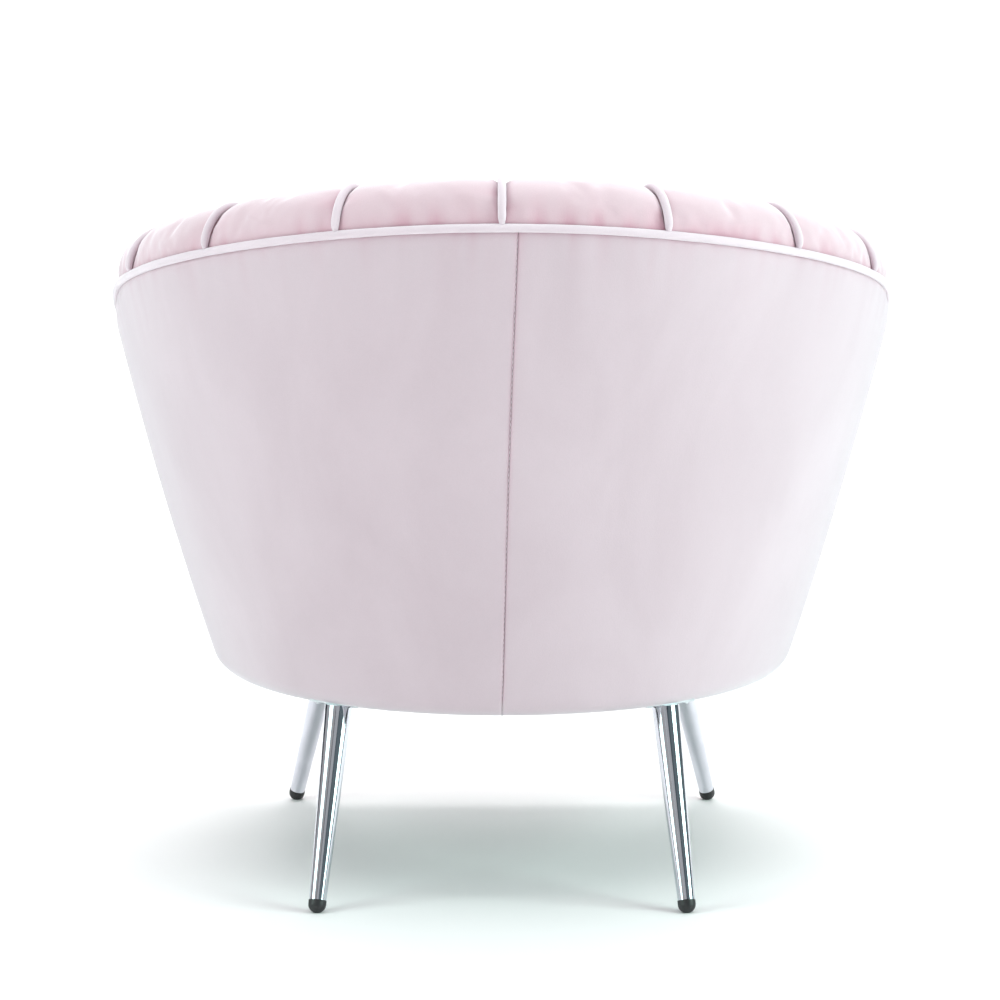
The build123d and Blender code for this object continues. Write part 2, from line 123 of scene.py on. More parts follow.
def front_girth(z):
    """Girth of the arm's leaning front edge at a height."""
    return FRONT - ARM_FRONT_LEAN * (z - BASE_Z)


# Where the rim's line would meet the arm's front edge, were the corner not rounded.
SHARP = FRONT - 0.1
for _ in range(12):
    SHARP = float(front_girth(rim_z(np.array(SHARP))))
TURN_IN, SHARP_Z = SHARP - CORNER, float(rim_z(np.array(SHARP)))
FALL = math.hypot(1, ARM_FRONT_LEAN)
RIM_RUN = TURN_IN - SEAMS[-1]


def arm_seam(walk):
    """Girth and height along the arm's seam: rim, rounded corner, then down the front."""
    walk = np.asarray(walk, float)
    girth = SEAMS[-1] + np.minimum(walk, RIM_RUN)
    z = rim_z(girth)
    t = np.clip((walk - RIM_RUN) / CORNER_WALK, 0, 1)
    end = (SHARP + ARM_FRONT_LEAN * CORNER, SHARP_Z - CORNER)
    start = (TURN_IN, float(rim_z(np.array(TURN_IN))))
    cg = (1 - t) ** 2 * start[0] + 2 * t * (1 - t) * SHARP + t * t * end[0]
    cz = (1 - t) ** 2 * start[1] + 2 * t * (1 - t) * SHARP_Z + t * t * end[1]
    low = end[1] - np.maximum(walk - RIM_RUN - CORNER_WALK, 0) / FALL
    below = walk > RIM_RUN + CORNER_WALK
    g = np.where(walk <= RIM_RUN, girth, np.where(below, front_girth(low), cg))
    return g, np.where(walk <= RIM_RUN, z, np.where(below, low, cz))


def walk_to(z):
    """Walk along the arm's seam to a height on its straight front."""
    return RIM_RUN + CORNER_WALK + (SHARP_Z - CORNER - z) * FALL


def recess(girth):
    """How deep the rim seam is drawn in between its two swellings, which grows towards the arms."""
    share = np.clip((np.abs(girth) - SEAMS[3]) / (SEAMS[4] - SEAMS[3]), 0, 1)
    return ARM_RECESS * share * share * (3 - 2 * share)


# ---- meshes -----------------------------------------------------------------------------------------
def link(name, data):
    """A new object in the scene."""
    piece = bpy.data.objects.new(name, data)
    bpy.context.scene.collection.objects.link(piece)
    return piece


def smooth_object(name, verts, faces, body, subdivide=1, crush_and_shade=None):
    """A closed mesh riding a body, with an optional value at each point that deepens the velvet's colour:
    flattened pile and painted crease shade.
    """
    mesh = bpy.data.meshes.new(name)
    mesh.from_pydata([tuple(v) for v in verts], [], [tuple(f) for f in faces])
    if crush_and_shade is not None:
        mesh.attributes.new("crush_and_shade", "FLOAT", "POINT").data.foreach_set("value", np.clip(crush_and_shade, 0, 1))
    work = bmesh.new()
    work.from_mesh(mesh)
    bmesh.ops.recalc_face_normals(work, faces=work.faces)
    work.to_mesh(mesh)
    work.free()
    mesh.polygons.foreach_set("use_smooth", [True] * len(mesh.polygons))
    piece = link(name, mesh)
    if subdivide:
        sub = piece.modifiers.new("smooth", "SUBSURF")
        sub.levels = sub.render_levels = subdivide
    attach(piece, body)
    return piece


def stand_for(piece, slot, *nodes):
    """The piece hides the CAD nodes it replaces; slot is not used."""
    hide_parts(*nodes)
    return piece


def grid_faces(shape, keep=None):
    """Quads of a grid of points, as an array of indices."""
    n, m = shape
    idx = np.arange(n * m).reshape(n, m)
    quads = np.stack([idx[:-1, :-1], idx[1:, :-1], idx[1:, 1:], idx[:-1, 1:]], -1)
    return quads.reshape(-1, 4) if keep is None else quads[keep]


def thick(front, back, keep=None):
    """A closed skin between two grids of points, walled round the kept cells' border."""
    n, m = front.shape[:2]
    quads = grid_faces((n, m), keep)
    edges = {}
    for quad in quads:
        for a, b in zip(quad, np.roll(quad, -1)):
            edges[(int(a), int(b))] = True
    border = [(a, b) for a, b in edges if (b, a) not in edges]
    off = n * m
    faces = [tuple(q) for q in quads] + [tuple(int(v) + off for v in q[::-1]) for q in quads]
    faces += [(b, a, a + off, b + off) for a, b in border]
    verts = np.concatenate([front.reshape(-1, 3), back.reshape(-1, 3)])
    used = sorted({v for f in faces for v in f})
    new = {v: i for i, v in enumerate(used)}
    return verts[used], [tuple(new[v] for v in f) for f in faces], used


def mirrored(points):
    """The same points on the chair's right."""
    return points * np.array([-1.0, 1.0, 1.0])


def tube(name, path, radius, body, closed=False, segs=12, wobble=0.0, seed=0):
    """A welted cord along a path of points."""
    path = np.asarray(path)
    ahead = np.roll(path, -1, 0) - np.roll(path, 1, 0) if closed else np.gradient(path, axis=0)
    ahead /= np.linalg.norm(ahead, axis=1)[:, None]
    side = np.cross(ahead[0], (0.3, 0.2, 0.9))
    rings = []
    count = len(path)
    for i in range(count):
        side = side - ahead[i] * np.dot(side, ahead[i])
        side /= np.linalg.norm(side)
        up = np.cross(ahead[i], side)
        swell = 1 + wobble * noise.noise(Vector((i * 0.35, seed * 7.1, 0.5)))
        # An open cord narrows a little at its two ends.
        ease = 1.0 if closed else min(1.0, 0.55 + 0.45 * min(i, count - 1 - i) / 1.5)
        for k in range(segs):
            a = 2 * math.pi * k / segs
            rings.append(path[i] + (side * math.cos(a) + up * math.sin(a)) * radius * swell * ease)
    faces = []
    for i in range(count if closed else count - 1):
        j = (i + 1) % count
        for k in range(segs):
            after = (k + 1) % segs
            faces.append((i * segs + k, i * segs + after, j * segs + after, j * segs + k))
    if not closed:
        faces += [tuple(range(segs))[::-1], tuple((count - 1) * segs + k for k in range(segs))]
    return smooth_object(name, rings, faces, body, 1)


def inflate(points, quads, pinned, pressure, cap, slack):
    """Cloth pressure on a skin whose pinned points stay sewn; returns the settled points.

    No point moves further than cap; slack is how much larger the cloth is cut.
    """
    mesh = bpy.data.meshes.new("skin")
    mesh.from_pydata([tuple(p) for p in points], [], [tuple(int(v) for v in q) for q in quads])
    skin = link("skin", mesh)
    group = skin.vertex_groups.new(name="sewn")
    group.add([int(v) for v in np.nonzero(pinned)[0]], 1.0, "REPLACE")
    cloth = skin.modifiers.new("cloth", "CLOTH")
    settings = cloth.settings
    settings.quality = 5
    settings.mass = 0.25
    settings.tension_stiffness = settings.compression_stiffness = 18
    settings.shear_stiffness = 8
    settings.bending_stiffness = 0.6
    settings.air_damping = 3
    settings.use_pressure = True
    settings.uniform_pressure_force = pressure
    settings.shrink_min = -slack
    settings.vertex_group_mass = "sewn"
    settings.effector_weights.gravity = 0
    cloth.collision_settings.use_collision = False
    cloth.point_cache.frame_start, cloth.point_cache.frame_end = 1, SETTLE_FRAMES
    scene = bpy.context.scene
    for step in range(1, SETTLE_FRAMES + 1):
        scene.frame_set(step)
    evaluated = skin.evaluated_get(bpy.context.evaluated_depsgraph_get())
    settled = np.empty(len(points) * 3)
    evaluated.data.vertices.foreach_get("co", settled)
    settled = settled.reshape(-1, 3)
    scene.frame_set(1)
    bpy.data.objects.remove(skin)
    move = settled - points
    size = np.linalg.norm(move, axis=1)
    return points + move * np.minimum(1.0, cap / np.maximum(size, 1e-9))[:, None]


def ripple(a, b, scale_a, scale_b, seed):
    """Smooth noise over two coordinates."""
    a, b = np.broadcast_arrays(a, b)
    places = zip(a.ravel(), b.ravel())
    flat = [noise.noise(Vector((p * scale_a, q * scale_b, seed))) for p, q in places]
    return np.array(flat).reshape(a.shape)


def facing(points):
    """Unit normals of a grid of points."""
    normal = np.cross(np.gradient(points, axis=0), np.gradient(points, axis=1))
    return normal / np.maximum(np.linalg.norm(normal, axis=2), 1e-12)[..., None]


# ---- channel pads -----------------------------------------------------------------------------------
ROLL_ROWS, FACE_ROWS, COLUMNS = 26, 56, 30
PAD_SEAT = 0.004  # where a pad's back begins, in from the outer face
SEAM_TUCK = 0.0005  # a pad's back edge ends this far below the rim seam, under the welt
FOLD_HEIGHT = 0.003
PAD_PRESSURE, PAD_CAP, PAD_SLACK = 4.0, 0.005, 0.02


def over_roll(angle, swell, lift):
    """Depth and rise of a half round over the wall's top, standing swell and lift outside the plain roll."""
    half = ROLL_DEPTH / 2
    rise = SEAM_GAP + (ROLL_RISE + lift) * np.sin(angle)
    lean = SIDE_LEAN * rise * np.cos(angle / 2) ** 2
    return ROLL_START + half - (half + swell) * np.cos(angle) + lean, rise


def roll(turn, crown):
    """Depth and rise of a pad's roll; turn runs from 0 at the outer seam to 1 at the inner face."""
    angle = np.pi * turn
    swell = np.where(turn < 0.5, crown * np.minimum(1.0, 1.6 * np.sin(angle)), crown)
    return over_roll(angle, swell, crown)


def pad_grid(seam, foot, crown, run=None):
    """Front and back points of a pad: columns are stations, rows go over the roll and down the face."""
    seam, foot = np.asarray(seam, float), np.asarray(foot, float)
    length = np.hypot(*(seam - foot))
    way = (seam - foot) / length
    run = length if run is None else run
    turn = np.linspace(0, 1, ROLL_ROWS)[None, :]
    depth, rise = roll(turn, crown[:, None])
    down = np.linspace(0, 1, FACE_ROWS + 1)[None, 1:]
    face_rise = SEAM_GAP - down * (run[:, None] + SEAM_GAP)
    face_depth = depth[:, -1:] + crown[:, None] * 0.35 * np.sin(np.pi * np.clip(down * 1.1, 0, 1))
    depth, rise = np.concatenate([depth, face_depth], 1), np.concatenate([rise, face_rise], 1)
    depth[:, :ROLL_ROWS] += ROLL_SHIFT * recess(seam[0])[:, None] * np.cos(np.pi * turn / 2) ** 2
    # The back runs level under the roll, just below the seam, then down the boards.
    level = np.broadcast_to(PAD_SEAT + (PAD_BACK - PAD_SEAT) * turn, (len(crown), ROLL_ROWS))
    back_depth = np.concatenate([level, np.full_like(face_rise, PAD_BACK)], 1)
    back_rise = np.concatenate([np.full(level.shape, -SEAM_TUCK), face_rise], 1)

    def place(r, d):
        return wall(seam[0][:, None] + r * way[0][:, None], seam[1][:, None] + r * way[1][:, None], d)

    return place(rise, depth), place(back_rise, back_depth)


def pillow(u):
    """Crown across a pad: drawn down under the piping at both edges."""
    full = np.sqrt(np.clip(1 - np.abs(2 * u - 1) ** 5, 0, 1))
    return PILLOW_EDGE + (CROWN - PILLOW_EDGE) * full


def walked_along(line):
    """Distance along a line of points, from its first point."""
    return np.cumsum(np.linalg.norm(np.diff(line, axis=0, prepend=line[:1]), axis=1))


def gathers(front, across, seed):
    """Small folds where the velvet is sewn down, and a value that deepens the colour in them and near the
    seams: flattened pile and painted crease shade.

    across is the distance of each column from the nearest channel seam.
    """
    across, along = across[:, None], walked_along(front[len(front) // 2])[None, :]
    columns = walked_along(front[:, 0])[:, None]
    side = np.exp(-across / 0.011) * np.minimum(1, along / 0.02)
    rim = np.exp(-along / 0.012)
    folds = np.maximum(ripple(along, across, 70, 25, seed + 0.3), -0.1) * side
    folds = folds + 0.8 * np.maximum(ripple(columns, along, 75, 20, seed + 5.3), -0.1) * rim
    soft_swell = 0.0009 * ripple(columns, along, 17, 13, seed + 9.1)
    # Painted shade with flattened pile: the colour deepens near the channel seams, under the rim seam and in
    # the folds.
    crush_and_shade = 0.75 * np.exp(-across / 0.005) + 0.50 * np.exp(-along / 0.009) + 1.5 * folds
    return front + facing(front) * (soft_swell + FOLD_HEIGHT * folds)[..., None], crush_and_shade


def finish_pad(node, front, back, keep, pinned, seed, right, across):
    quads = grid_faces(front.shape[:2], keep)
    flat = front.reshape(-1, 3)
    used = np.unique(quads)
    remap = np.full(len(flat), -1)
    remap[used] = np.arange(len(used))
    flat = flat.copy()
    outward = remap[quads][:, ::-1]
    flat[used] = inflate(flat[used], outward, pinned.reshape(-1)[used], PAD_PRESSURE, PAD_CAP, PAD_SLACK)
    front, crush_and_shade = gathers(flat.reshape(front.shape), across, seed)
    if right:
        front, back = mirrored(front), mirrored(back)
    verts, faces, used = thick(front, back, keep)
    crush_and_shade = np.concatenate([crush_and_shade.ravel(), crush_and_shade.ravel() * 0])[used]
    piece = smooth_object(f"{node}.velvet", verts, faces, "chair", crush_and_shade=crush_and_shade)
    stand_for(piece, "velvet", node)
    return piece


soft = []
for k in range(4):
    for right in (False, True):
        u = np.linspace(0, 1, COLUMNS)
        g = SEAMS[k] + u * (SEAMS[k + 1] - SEAMS[k])
        seed = 2 * k + right
        crown = pillow(u) * (1 + 0.06 * math.sin(seed * 2.3))
        front, back = pad_grid((g, rim_z(g)), (g, np.full(COLUMNS, PAD_FOOT_Z)), crown)
        pinned = np.zeros(front.shape[:2], bool)
        pinned[[0, -1]] = pinned[:, [0, -1]] = True
        side = "right" if right else "left"
        keep = np.ones((front.shape[0] - 1, front.shape[1] - 1), bool)
        across = np.minimum(u, 1 - u) * CHANNEL_PITCH
        soft.append(finish_pad(f"pad_{k + 1}_{side}", front, back, keep, pinned, seed, right, across))

# The last pad fans out round the arm's corner, and below the seat it closes off the arm's front.
for right in (False, True):
    fan_end, low_end = walk_to(PAD_FOOT_Z), walk_to(BASE_Z + 0.001)
    fan = np.concatenate([np.linspace(0, 0.03, 8)[:-1], np.linspace(0.03, fan_end, 72)])
    low = np.linspace(fan_end, low_end, 20)[1:]
    share = fan / fan_end
    g, z = arm_seam(fan)
    lg, lz = arm_seam(low)
    seam = (np.concatenate([g, lg]), np.concatenate([z, lz]))
    foot = (np.concatenate([SEAMS[-1] + 0.06 * share, lg - 0.1]), np.concatenate([g * 0 + PAD_FOOT_Z, lz]))
    run = np.concatenate([np.hypot(g - foot[0][: len(fan)], z - PAD_FOOT_Z), np.full(len(low), 0.14)])
    edge = np.clip(np.concatenate([fan, low]) / 0.15, 0, 1)
    crown = np.where(edge < 0.5, pillow(edge), CROWN)
    front, back = pad_grid(seam, foot, crown, run)
    cols, rows = front.shape[:2]
    keep = np.ones((cols - 1, rows - 1), bool)
    keep[len(fan) - 1:, ROLL_ROWS + 9:] = False
    pinned = np.zeros((cols, rows), bool)
    pinned[[0, -1]] = pinned[:, [0, -1]] = True
    pinned[len(fan) - 1:, ROLL_ROWS + 8:] = True
    side = "right" if right else "left"
    across = np.concatenate([fan, low])
    soft.append(finish_pad(f"pad_5_{side}", front, back, keep, pinned, 9 + right, right, across))

# ---- pipings ----------------------------------------------------------------------------------------
pipings = []


def welt(node, line, body="chair", **how):
    """A welt along a line, standing for its CAD node."""
    piece = tube(f"{node}.welt", line, PIPING_R, body, wobble=0.05, **how)
    pipings.append(stand_for(piece, "piping_velvet", node))


for k, girth in enumerate(SEAMS):
    lift = PIPING_PROUD + 0.001
    angle = np.pi * np.linspace(0.02, 1, 34)
    depth, rise = over_roll(angle, lift, lift)
    depth = depth + ROLL_SHIFT * recess(girth) * np.cos(angle / 2) ** 2
    rim = rim_z(np.array(girth))
    z = rim + rise
    down = np.linspace(z[-1], PAD_FOOT_Z + 0.012, 44)[1:]
    depth = np.concatenate([[0.001 + recess(girth)], depth, np.full(len(down), depth[-1])])
    z = np.concatenate([[rim + 0.002], z, down])
    line = wall(girth, z, depth)
    for side in ("centre",) if k == 0 else ("left", "right"):
        name = "channel_piping_centre" if k == 0 else f"channel_piping_{k}_{side}"
        welt(name, mirrored(line) if side == "right" else line, seed=k)

back_g = np.linspace(0, SEAMS[-1], 90)
walks = np.linspace(0, walk_to(BASE_Z + 0.004), 110)[1:]
ag, az = arm_seam(walks)
rim_g = np.concatenate([back_g, ag])
left_line = wall(rim_g, np.concatenate([rim_z(back_g), az]), 0.0002 + recess(rim_g))
welt("rim_piping", np.concatenate([mirrored(left_line)[:0:-1], left_line]), seed=11)

# ---- outer covers -----------------------------------------------------------------------------------
TENSION_FOLD, TENSION_REACH = 0.0012, 0.022  # short folds below the welt, and how far down they fade
SLACK_WAVE = 0.0016  # long soft waves in the middle of the cloth
WELT_TUCK, CENTRE_TUCK = 0.0024, 0.0008  # how far the cloth dips under the welt and at the centre seam
COVER_THICK, HEM_THICK = 0.0035, 0.0018


def cover_grid(side, seed):
    """One half of the outer cover, columns from the centre seam to the arm's front.

    Returns its outer and inner points and, at each, how far the colour deepens: flattened pile and painted
    shade under the welt, at the centre seam and in the tension folds.
    """
    rows = np.linspace(0, 1, 70) ** 0.9
    low = BASE_Z + HEM
    g = np.concatenate([np.linspace(0.0, 0.012, 9)[:-1], np.linspace(0.012, SEAMS[-1], 90)])
    back_z = low + rows[None, :] * (rim_z(g)[:, None] - low - 0.001)
    back_g = np.broadcast_to(g[:, None], back_z.shape)
    # The arm's region is a patch between its four edges.
    mid = RIM_RUN + 0.8 * CORNER
    u, v = np.linspace(0, 1, 50)[1:, None], rows[None, :]
    top_g, top_z = arm_seam(u * mid)
    side_g, side_z = arm_seam(mid + (1 - v) * (walk_to(low) - mid))
    side_g = side_g + 0.002  # the edge ends under the welt
    foot_g, foot_z = SEAMS[-1] + u * (front_girth(low) - SEAMS[-1]), low + 0 * u
    start_g, start_z = SEAMS[-1] + 0 * v, low + v * (rim_z(np.array(SEAMS[-1])) - low)
    tip_g, tip_z = arm_seam(mid)

    def patch(bottom, top, start, end, corners):
        """Fill between four edges (a Coons patch); corners go start low, start high, end low, end high."""
        edges = (1 - v) * bottom + v * top + (1 - u) * start + u * end
        start_low, start_high, end_low, end_high = corners
        twice = (1 - u) * ((1 - v) * start_low + v * start_high) + u * ((1 - v) * end_low + v * end_high)
        return edges - twice

    arm_g = patch(foot_g, top_g, start_g, side_g, (SEAMS[-1], SEAMS[-1], front_girth(low), tip_g))
    arm_z = patch(foot_z, top_z, start_z, side_z, (low, rim_z(np.array(SEAMS[-1])), low, tip_z))
    arm_z = arm_z - 0.001 * v
    girth, z = np.concatenate([back_g, arm_g]), np.concatenate([back_z, arm_z])
    # Tension tucks under the piping, the rolled edge at the centre seam, and the hem turned under.
    drop = np.concatenate([rim_z(g), np.broadcast_to(top_z, (49, 1))[:, 0]])[:, None] - z
    to_front = np.concatenate([np.ones_like(back_z), side_g - arm_g + 0 * arm_z])
    edge = np.minimum(drop, to_front)
    near_edge = np.exp(-edge / TENSION_REACH)
    pull = ripple(girth, drop, 95, 9, 3.0 + seed) + 0.5 * ripple(girth, drop, 210, 14, 8.0 + seed)
    hang = ripple(girth, z, 13, 3, 15.0 + seed) * np.sin(np.pi * np.clip(drop / 0.45, 0, 1))
    tucks = TENSION_FOLD * pull * near_edge + SLACK_WAVE * hang
    tucked = WELT_TUCK * np.exp(-((edge / 0.0035) ** 2)) + recess(girth) * np.exp(-((edge / 0.013) ** 2))
    roll_in = CENTRE_TUCK * np.exp(-((girth / 0.0013) ** 2))
    swell = BELLY * (z - low) * np.maximum(rim_z(np.abs(girth)) - z, 0)
    depth = tucks + tucked + roll_in - swell
    # Painted shade with flattened pile: the colour deepens under the welt, at the centre seam and in the
    # tension folds.
    crush_and_shade = 0.8 * np.exp(-edge / 0.004) + 0.7 * np.exp(-girth / 0.0012)
    crush_and_shade = crush_and_shade + 0.7 * np.maximum(pull, 0) * near_edge
    # The hem turns under the body and ends in a flap along its underside.
    turn = np.linspace(0, np.pi / 2, 8)[None, 1:]
    edge_g = girth[:, :1]
    hem_depth = HEM * (1 - np.cos(turn)) + 0 * edge_g
    hem_z = BASE_Z + HEM * (1 - np.sin(turn)) + 0 * edge_g
    flap = np.linspace(0, 0.02, 5)[None, 1:]
    hem_depth = np.concatenate([hem_depth + depth[:, :1], HEM + flap + 0 * edge_g], 1)
    hem_z = np.concatenate([hem_z, BASE_Z + 0 * flap + 0 * edge_g], 1)
    arm_share = np.concatenate([g * 0, u[:, 0]])[:, None]
    hem_g = edge_g + arm_share * ARM_FRONT_LEAN * (low - hem_z)
    girth = np.concatenate([hem_g[:, ::-1], girth], 1)
    z = np.concatenate([hem_z[:, ::-1], z], 1)
    depth = np.concatenate([hem_depth[:, ::-1], depth], 1)
    crush_and_shade = np.concatenate([hem_z * 0, crush_and_shade], 1)
    inner_z = np.maximum(z, BASE_Z) + np.where(z < low, HEM_THICK * (low - z) / HEM, 0)
    inner_depth = depth + COVER_THICK * np.clip((z - BASE_Z) / HEM, 0, 1)
    girth = side * girth
    girth = girth - seam_drift(z) * np.exp(-((girth / 0.07) ** 2))
    return wall(girth, z, depth), wall(girth, inner_z, inner_depth), crush_and_shade


def seam_drift(z):
    """The centre seam leaves the middle a little as it rises."""
    return 0.010 * np.clip((z - BASE_Z) / (RIM_BACK_Z - BASE_Z), 0, 1)


for side, sign in (("left", 1), ("right", -1)):
    outer, inner, crush_and_shade = cover_grid(sign, 20.0 * sign)
    verts, faces, used = thick(outer, inner)
    crush_and_shade = np.concatenate([crush_and_shade.ravel(), crush_and_shade.ravel() * 0])[used]
    piece = smooth_object(f"outer_cover_{side}.velvet", verts, faces, "chair", crush_and_shade=crush_and_shade)
    soft.append(stand_for(piece, "velvet", f"outer_cover_{side}"))

# The centre seam's top-stitches: short threads lying in the drawn-in line.
STITCH_PITCH, STITCH_LENGTH, THREAD_R = 0.0052, 0.0036, 0.00045
SIDES, STEPS = 6, 5
threads, thread_faces = [], []
for z in np.arange(BASE_Z + HEM + 0.004, RIM_BACK_Z - 0.012, STITCH_PITCH):
    base = len(threads)
    for step in np.linspace(0, 1, STEPS):
        at_z = z + STITCH_LENGTH * step
        swell = BELLY * (at_z - BASE_Z - HEM) * (RIM_BACK_Z - at_z)
        bow = math.sin(math.pi * step)
        middle = wall(-seam_drift(at_z) + 0.0003, at_z, 0.0009 - 0.0005 * bow - swell)
        for k in range(SIDES):
            a = 2 * math.pi * k / SIDES
            radius = THREAD_R * (0.4 + 0.6 * bow)
            threads.append(middle + np.array([math.cos(a), math.sin(a), 0.0]) * radius)
    for i in range(STEPS - 1):
        here, above = base + SIDES * i, base + SIDES * (i + 1)
        for k in range(SIDES):
            after = (k + 1) % SIDES
            thread_faces.append((here + k, here + after, above + after, above + k))
    for end in (base, len(threads) - SIDES):
        thread_faces.append(tuple(end + k for k in range(SIDES)))
stitches = smooth_object("centre_seam.thread", threads, thread_faces, "chair")
pipings.append(stitches)

# ---- seat: deck, front rail cover, dust cover, loose cushion -------------------------------------------
AROUND = 200  # points round the cushion


def cushion_outline(z, inset, count=AROUND):
    """Outline at a height: it follows the wall, then rounds forward between the arms."""
    reach = FRONT - 0.045
    g = np.linspace(-reach, reach, 121)
    points = wall(g, z, CUSHION_DEPTH + inset)[:, :2]
    half, side_y = points[-1]
    nose = CENTRE_Y + CUSHION_FRONT + inset
    turn = np.radians(np.linspace(0, 180, 62))[1:-1]
    x = half * np.abs(np.cos(turn)) ** 0.42 * np.sign(np.cos(turn))
    y = side_y - (side_y - nose) * np.sin(turn) ** 0.55
    closed = np.concatenate([points, np.stack([x, y], 1), points[:1]])
    at = walked_along(closed)
    places = np.linspace(0, at[-1], count, endpoint=False)
    even = np.stack([np.interp(places, at, closed[:, i]) for i in (0, 1)], 1)
    for _ in range(3):
        even = (np.roll(even, 1, 0) + 2 * even + np.roll(even, -1, 0)) / 4
    return even


def ring(z, inset, count=AROUND):
    """The cushion's outline as points at a height."""
    flat = cushion_outline(z, inset, count)
    return np.concatenate([flat, np.full((count, 1), z)], 1)


def disc(z, share, dome=0.0):
    """A ring of the cushion's flat: share is 1 at its edge and near 0 at its middle, where it domes."""
    flat = ring(z, 0.010)
    middle = np.array([0, flat[:, 1].mean(), z])
    point = middle + (flat - middle) * share ** 0.9
    point[:, 2] += dome * (1 - share**4)
    return point


CAP_RINGS, BOXING_RINGS = 24, 14
low_z, high_z = CUSHION_Z[0] + 0.001, CUSHION_Z[1] - 0.002
welt_low, welt_high = low_z + 0.009, high_z - 0.009
WELT_INSET = 0.0035  # the boxing meets the welts this far inside the outline
rings = [disc(low_z, share) for share in np.linspace(0.02, 1, CAP_RINGS)]
bottom_seam = len(rings)
for share in np.linspace(0, 1, BOXING_RINGS + 2):
    swell = 0.003 * math.sin(math.pi * share)
    rings.append(ring(welt_low + (welt_high - welt_low) * share, WELT_INSET - swell))
top_seam = len(rings) - 1
rings += [disc(high_z, share, dome=0.004) for share in np.linspace(1, 0.02, CAP_RINGS)]
quads = []
for i in range(len(rings) - 1):
    for k in range(AROUND):
        after = (k + 1) % AROUND
        quads.append((i * AROUND + k, (i + 1) * AROUND + k, (i + 1) * AROUND + after, i * AROUND + after))
cushion_points = np.concatenate(rings)
# The cushion is sewn at its two welts and lies flat on the deck, so most of its underside stays put.
pinned = np.zeros((len(rings), AROUND), bool)
pinned[[bottom_seam, top_seam]] = True
pinned[:20] = True
cushion_points = inflate(cushion_points, quads, pinned.ravel(), 3.5, 0.012, 0.012)
caps = [tuple(range(AROUND))[::-1], tuple((len(rings) - 1) * AROUND + k for k in range(AROUND))]
cushion = smooth_object("seat_cushion.velvet", cushion_points, quads + caps, "seat_cushion")
stand_for(cushion, "velvet", "cushion_cover", "cushion_core")
soft.append(cushion)
for name, z, seed in (("top", welt_high, 21), ("bottom", welt_low, 19)):
    welt(f"cushion_piping_{name}", ring(z, -0.0005, 260), "seat_cushion", closed=True, seed=seed)

# The front panel: a rounded, softly bulging slab between the arms, a little wider at its top.
lo, hi = (Vector(v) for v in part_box("front_cover"))
foot_half, top_half = (float(wall(front_girth(z), z, ROLL_DEPTH + 0.003)[0]) for z in (lo.z, hi.z))
u, v = np.linspace(-1, 1, 120)[:, None], np.linspace(0, 1, 28)[None, :]
x, z = u * (foot_half + (top_half - foot_half) * v), lo.z + (hi.z - lo.z) * v + 0 * u
rim = np.clip(1 - np.abs(u) ** 14, 0, 1) * np.clip(1 - np.abs(2 * v - 1) ** 10, 0, 1)
y = lo.y + 0.002 + 0.010 * (1 - np.sqrt(rim)) - 0.003 * np.cos(np.pi * (v - 0.5)) * (1 - u**4)
y = y - 0.0006 * ripple(x, z, 9, 40, 2.0)
verts, faces, _ = thick(np.stack([x, y, z], -1), np.stack([x, np.full_like(x, hi.y), z], -1))
front_panel = smooth_object("front_cover.velvet", verts, faces, "chair")
stand_for(front_panel, "velvet", "front_cover")
soft.append(front_panel)

FORWARD = np.linspace(0, 1, 40)[None, :, None]  # from the rear edge, 0, to the front line, 1


def spread_between(edge, front_y):
    """Rows of points from a curved rear edge to a straight front line."""
    front_line = np.stack([edge[:, 0], np.full(len(edge), front_y)], 1)
    return edge[:, None, :] * (1 - FORWARD) + front_line[:, None, :] * FORWARD


# The deck: lined, lightly quilted, and sewn down along its edges.
lo, hi = (Vector(v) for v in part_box("deck_pad"))
g = np.linspace(-FRONT, FRONT, 90)
spread = spread_between(wall(g, hi.z, ROLL_DEPTH + 0.008)[:, :2], lo.y + 0.003)
border = np.minimum(FORWARD[..., 0], 1 - FORWARD[..., 0]) * 2 * np.cos(np.linspace(-1.5, 1.5, 90))[:, None]
quilt = 0.0012 * np.cos(spread[..., 0] * 90) * np.cos(spread[..., 1] * 90)
top = np.concatenate([spread, (hi.z - 0.002 - 0.004 * np.exp(-border / 0.03) + quilt)[..., None]], -1)
under = np.concatenate([spread, np.full(spread.shape[:2] + (1,), lo.z + 0.001)], -1)
verts, faces, _ = thick(top, under)
deck = stand_for(smooth_object("deck_pad.lining", verts, faces, "chair"), "deck_cloth", "deck_pad")

# The dust cover: thin cambric stretched under the body, sagging a little.
lo, hi = (Vector(v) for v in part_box("dust_cover"))
g = np.linspace(-(FRONT - 0.022), FRONT - 0.022, 80)
edge = wall(g, BASE_Z, 0.026)[:, :2]
spread = spread_between(edge, edge[:, 1].min() - FRONT_TURN)
back_to_front = np.clip((spread[..., 1] - lo.y) / (hi.y - lo.y), 0, 1)
sag = 0.0015 * np.sin(np.pi * back_to_front) * np.cos(spread[..., 0] / hi.x * 1.5)
sheet_z = lo.z + 0.0006 - sag + 0.0006 * ripple(spread[..., 0], spread[..., 1], 14, 14, 4.0)
top = np.concatenate([spread, sheet_z[..., None]], -1)
verts, faces, _ = thick(top, top - np.array([0, 0, 0.0005]))
dust = stand_for(smooth_object("dust_cover.cambric", verts, faces, "chair", 0), "black_cambric", "dust_cover")


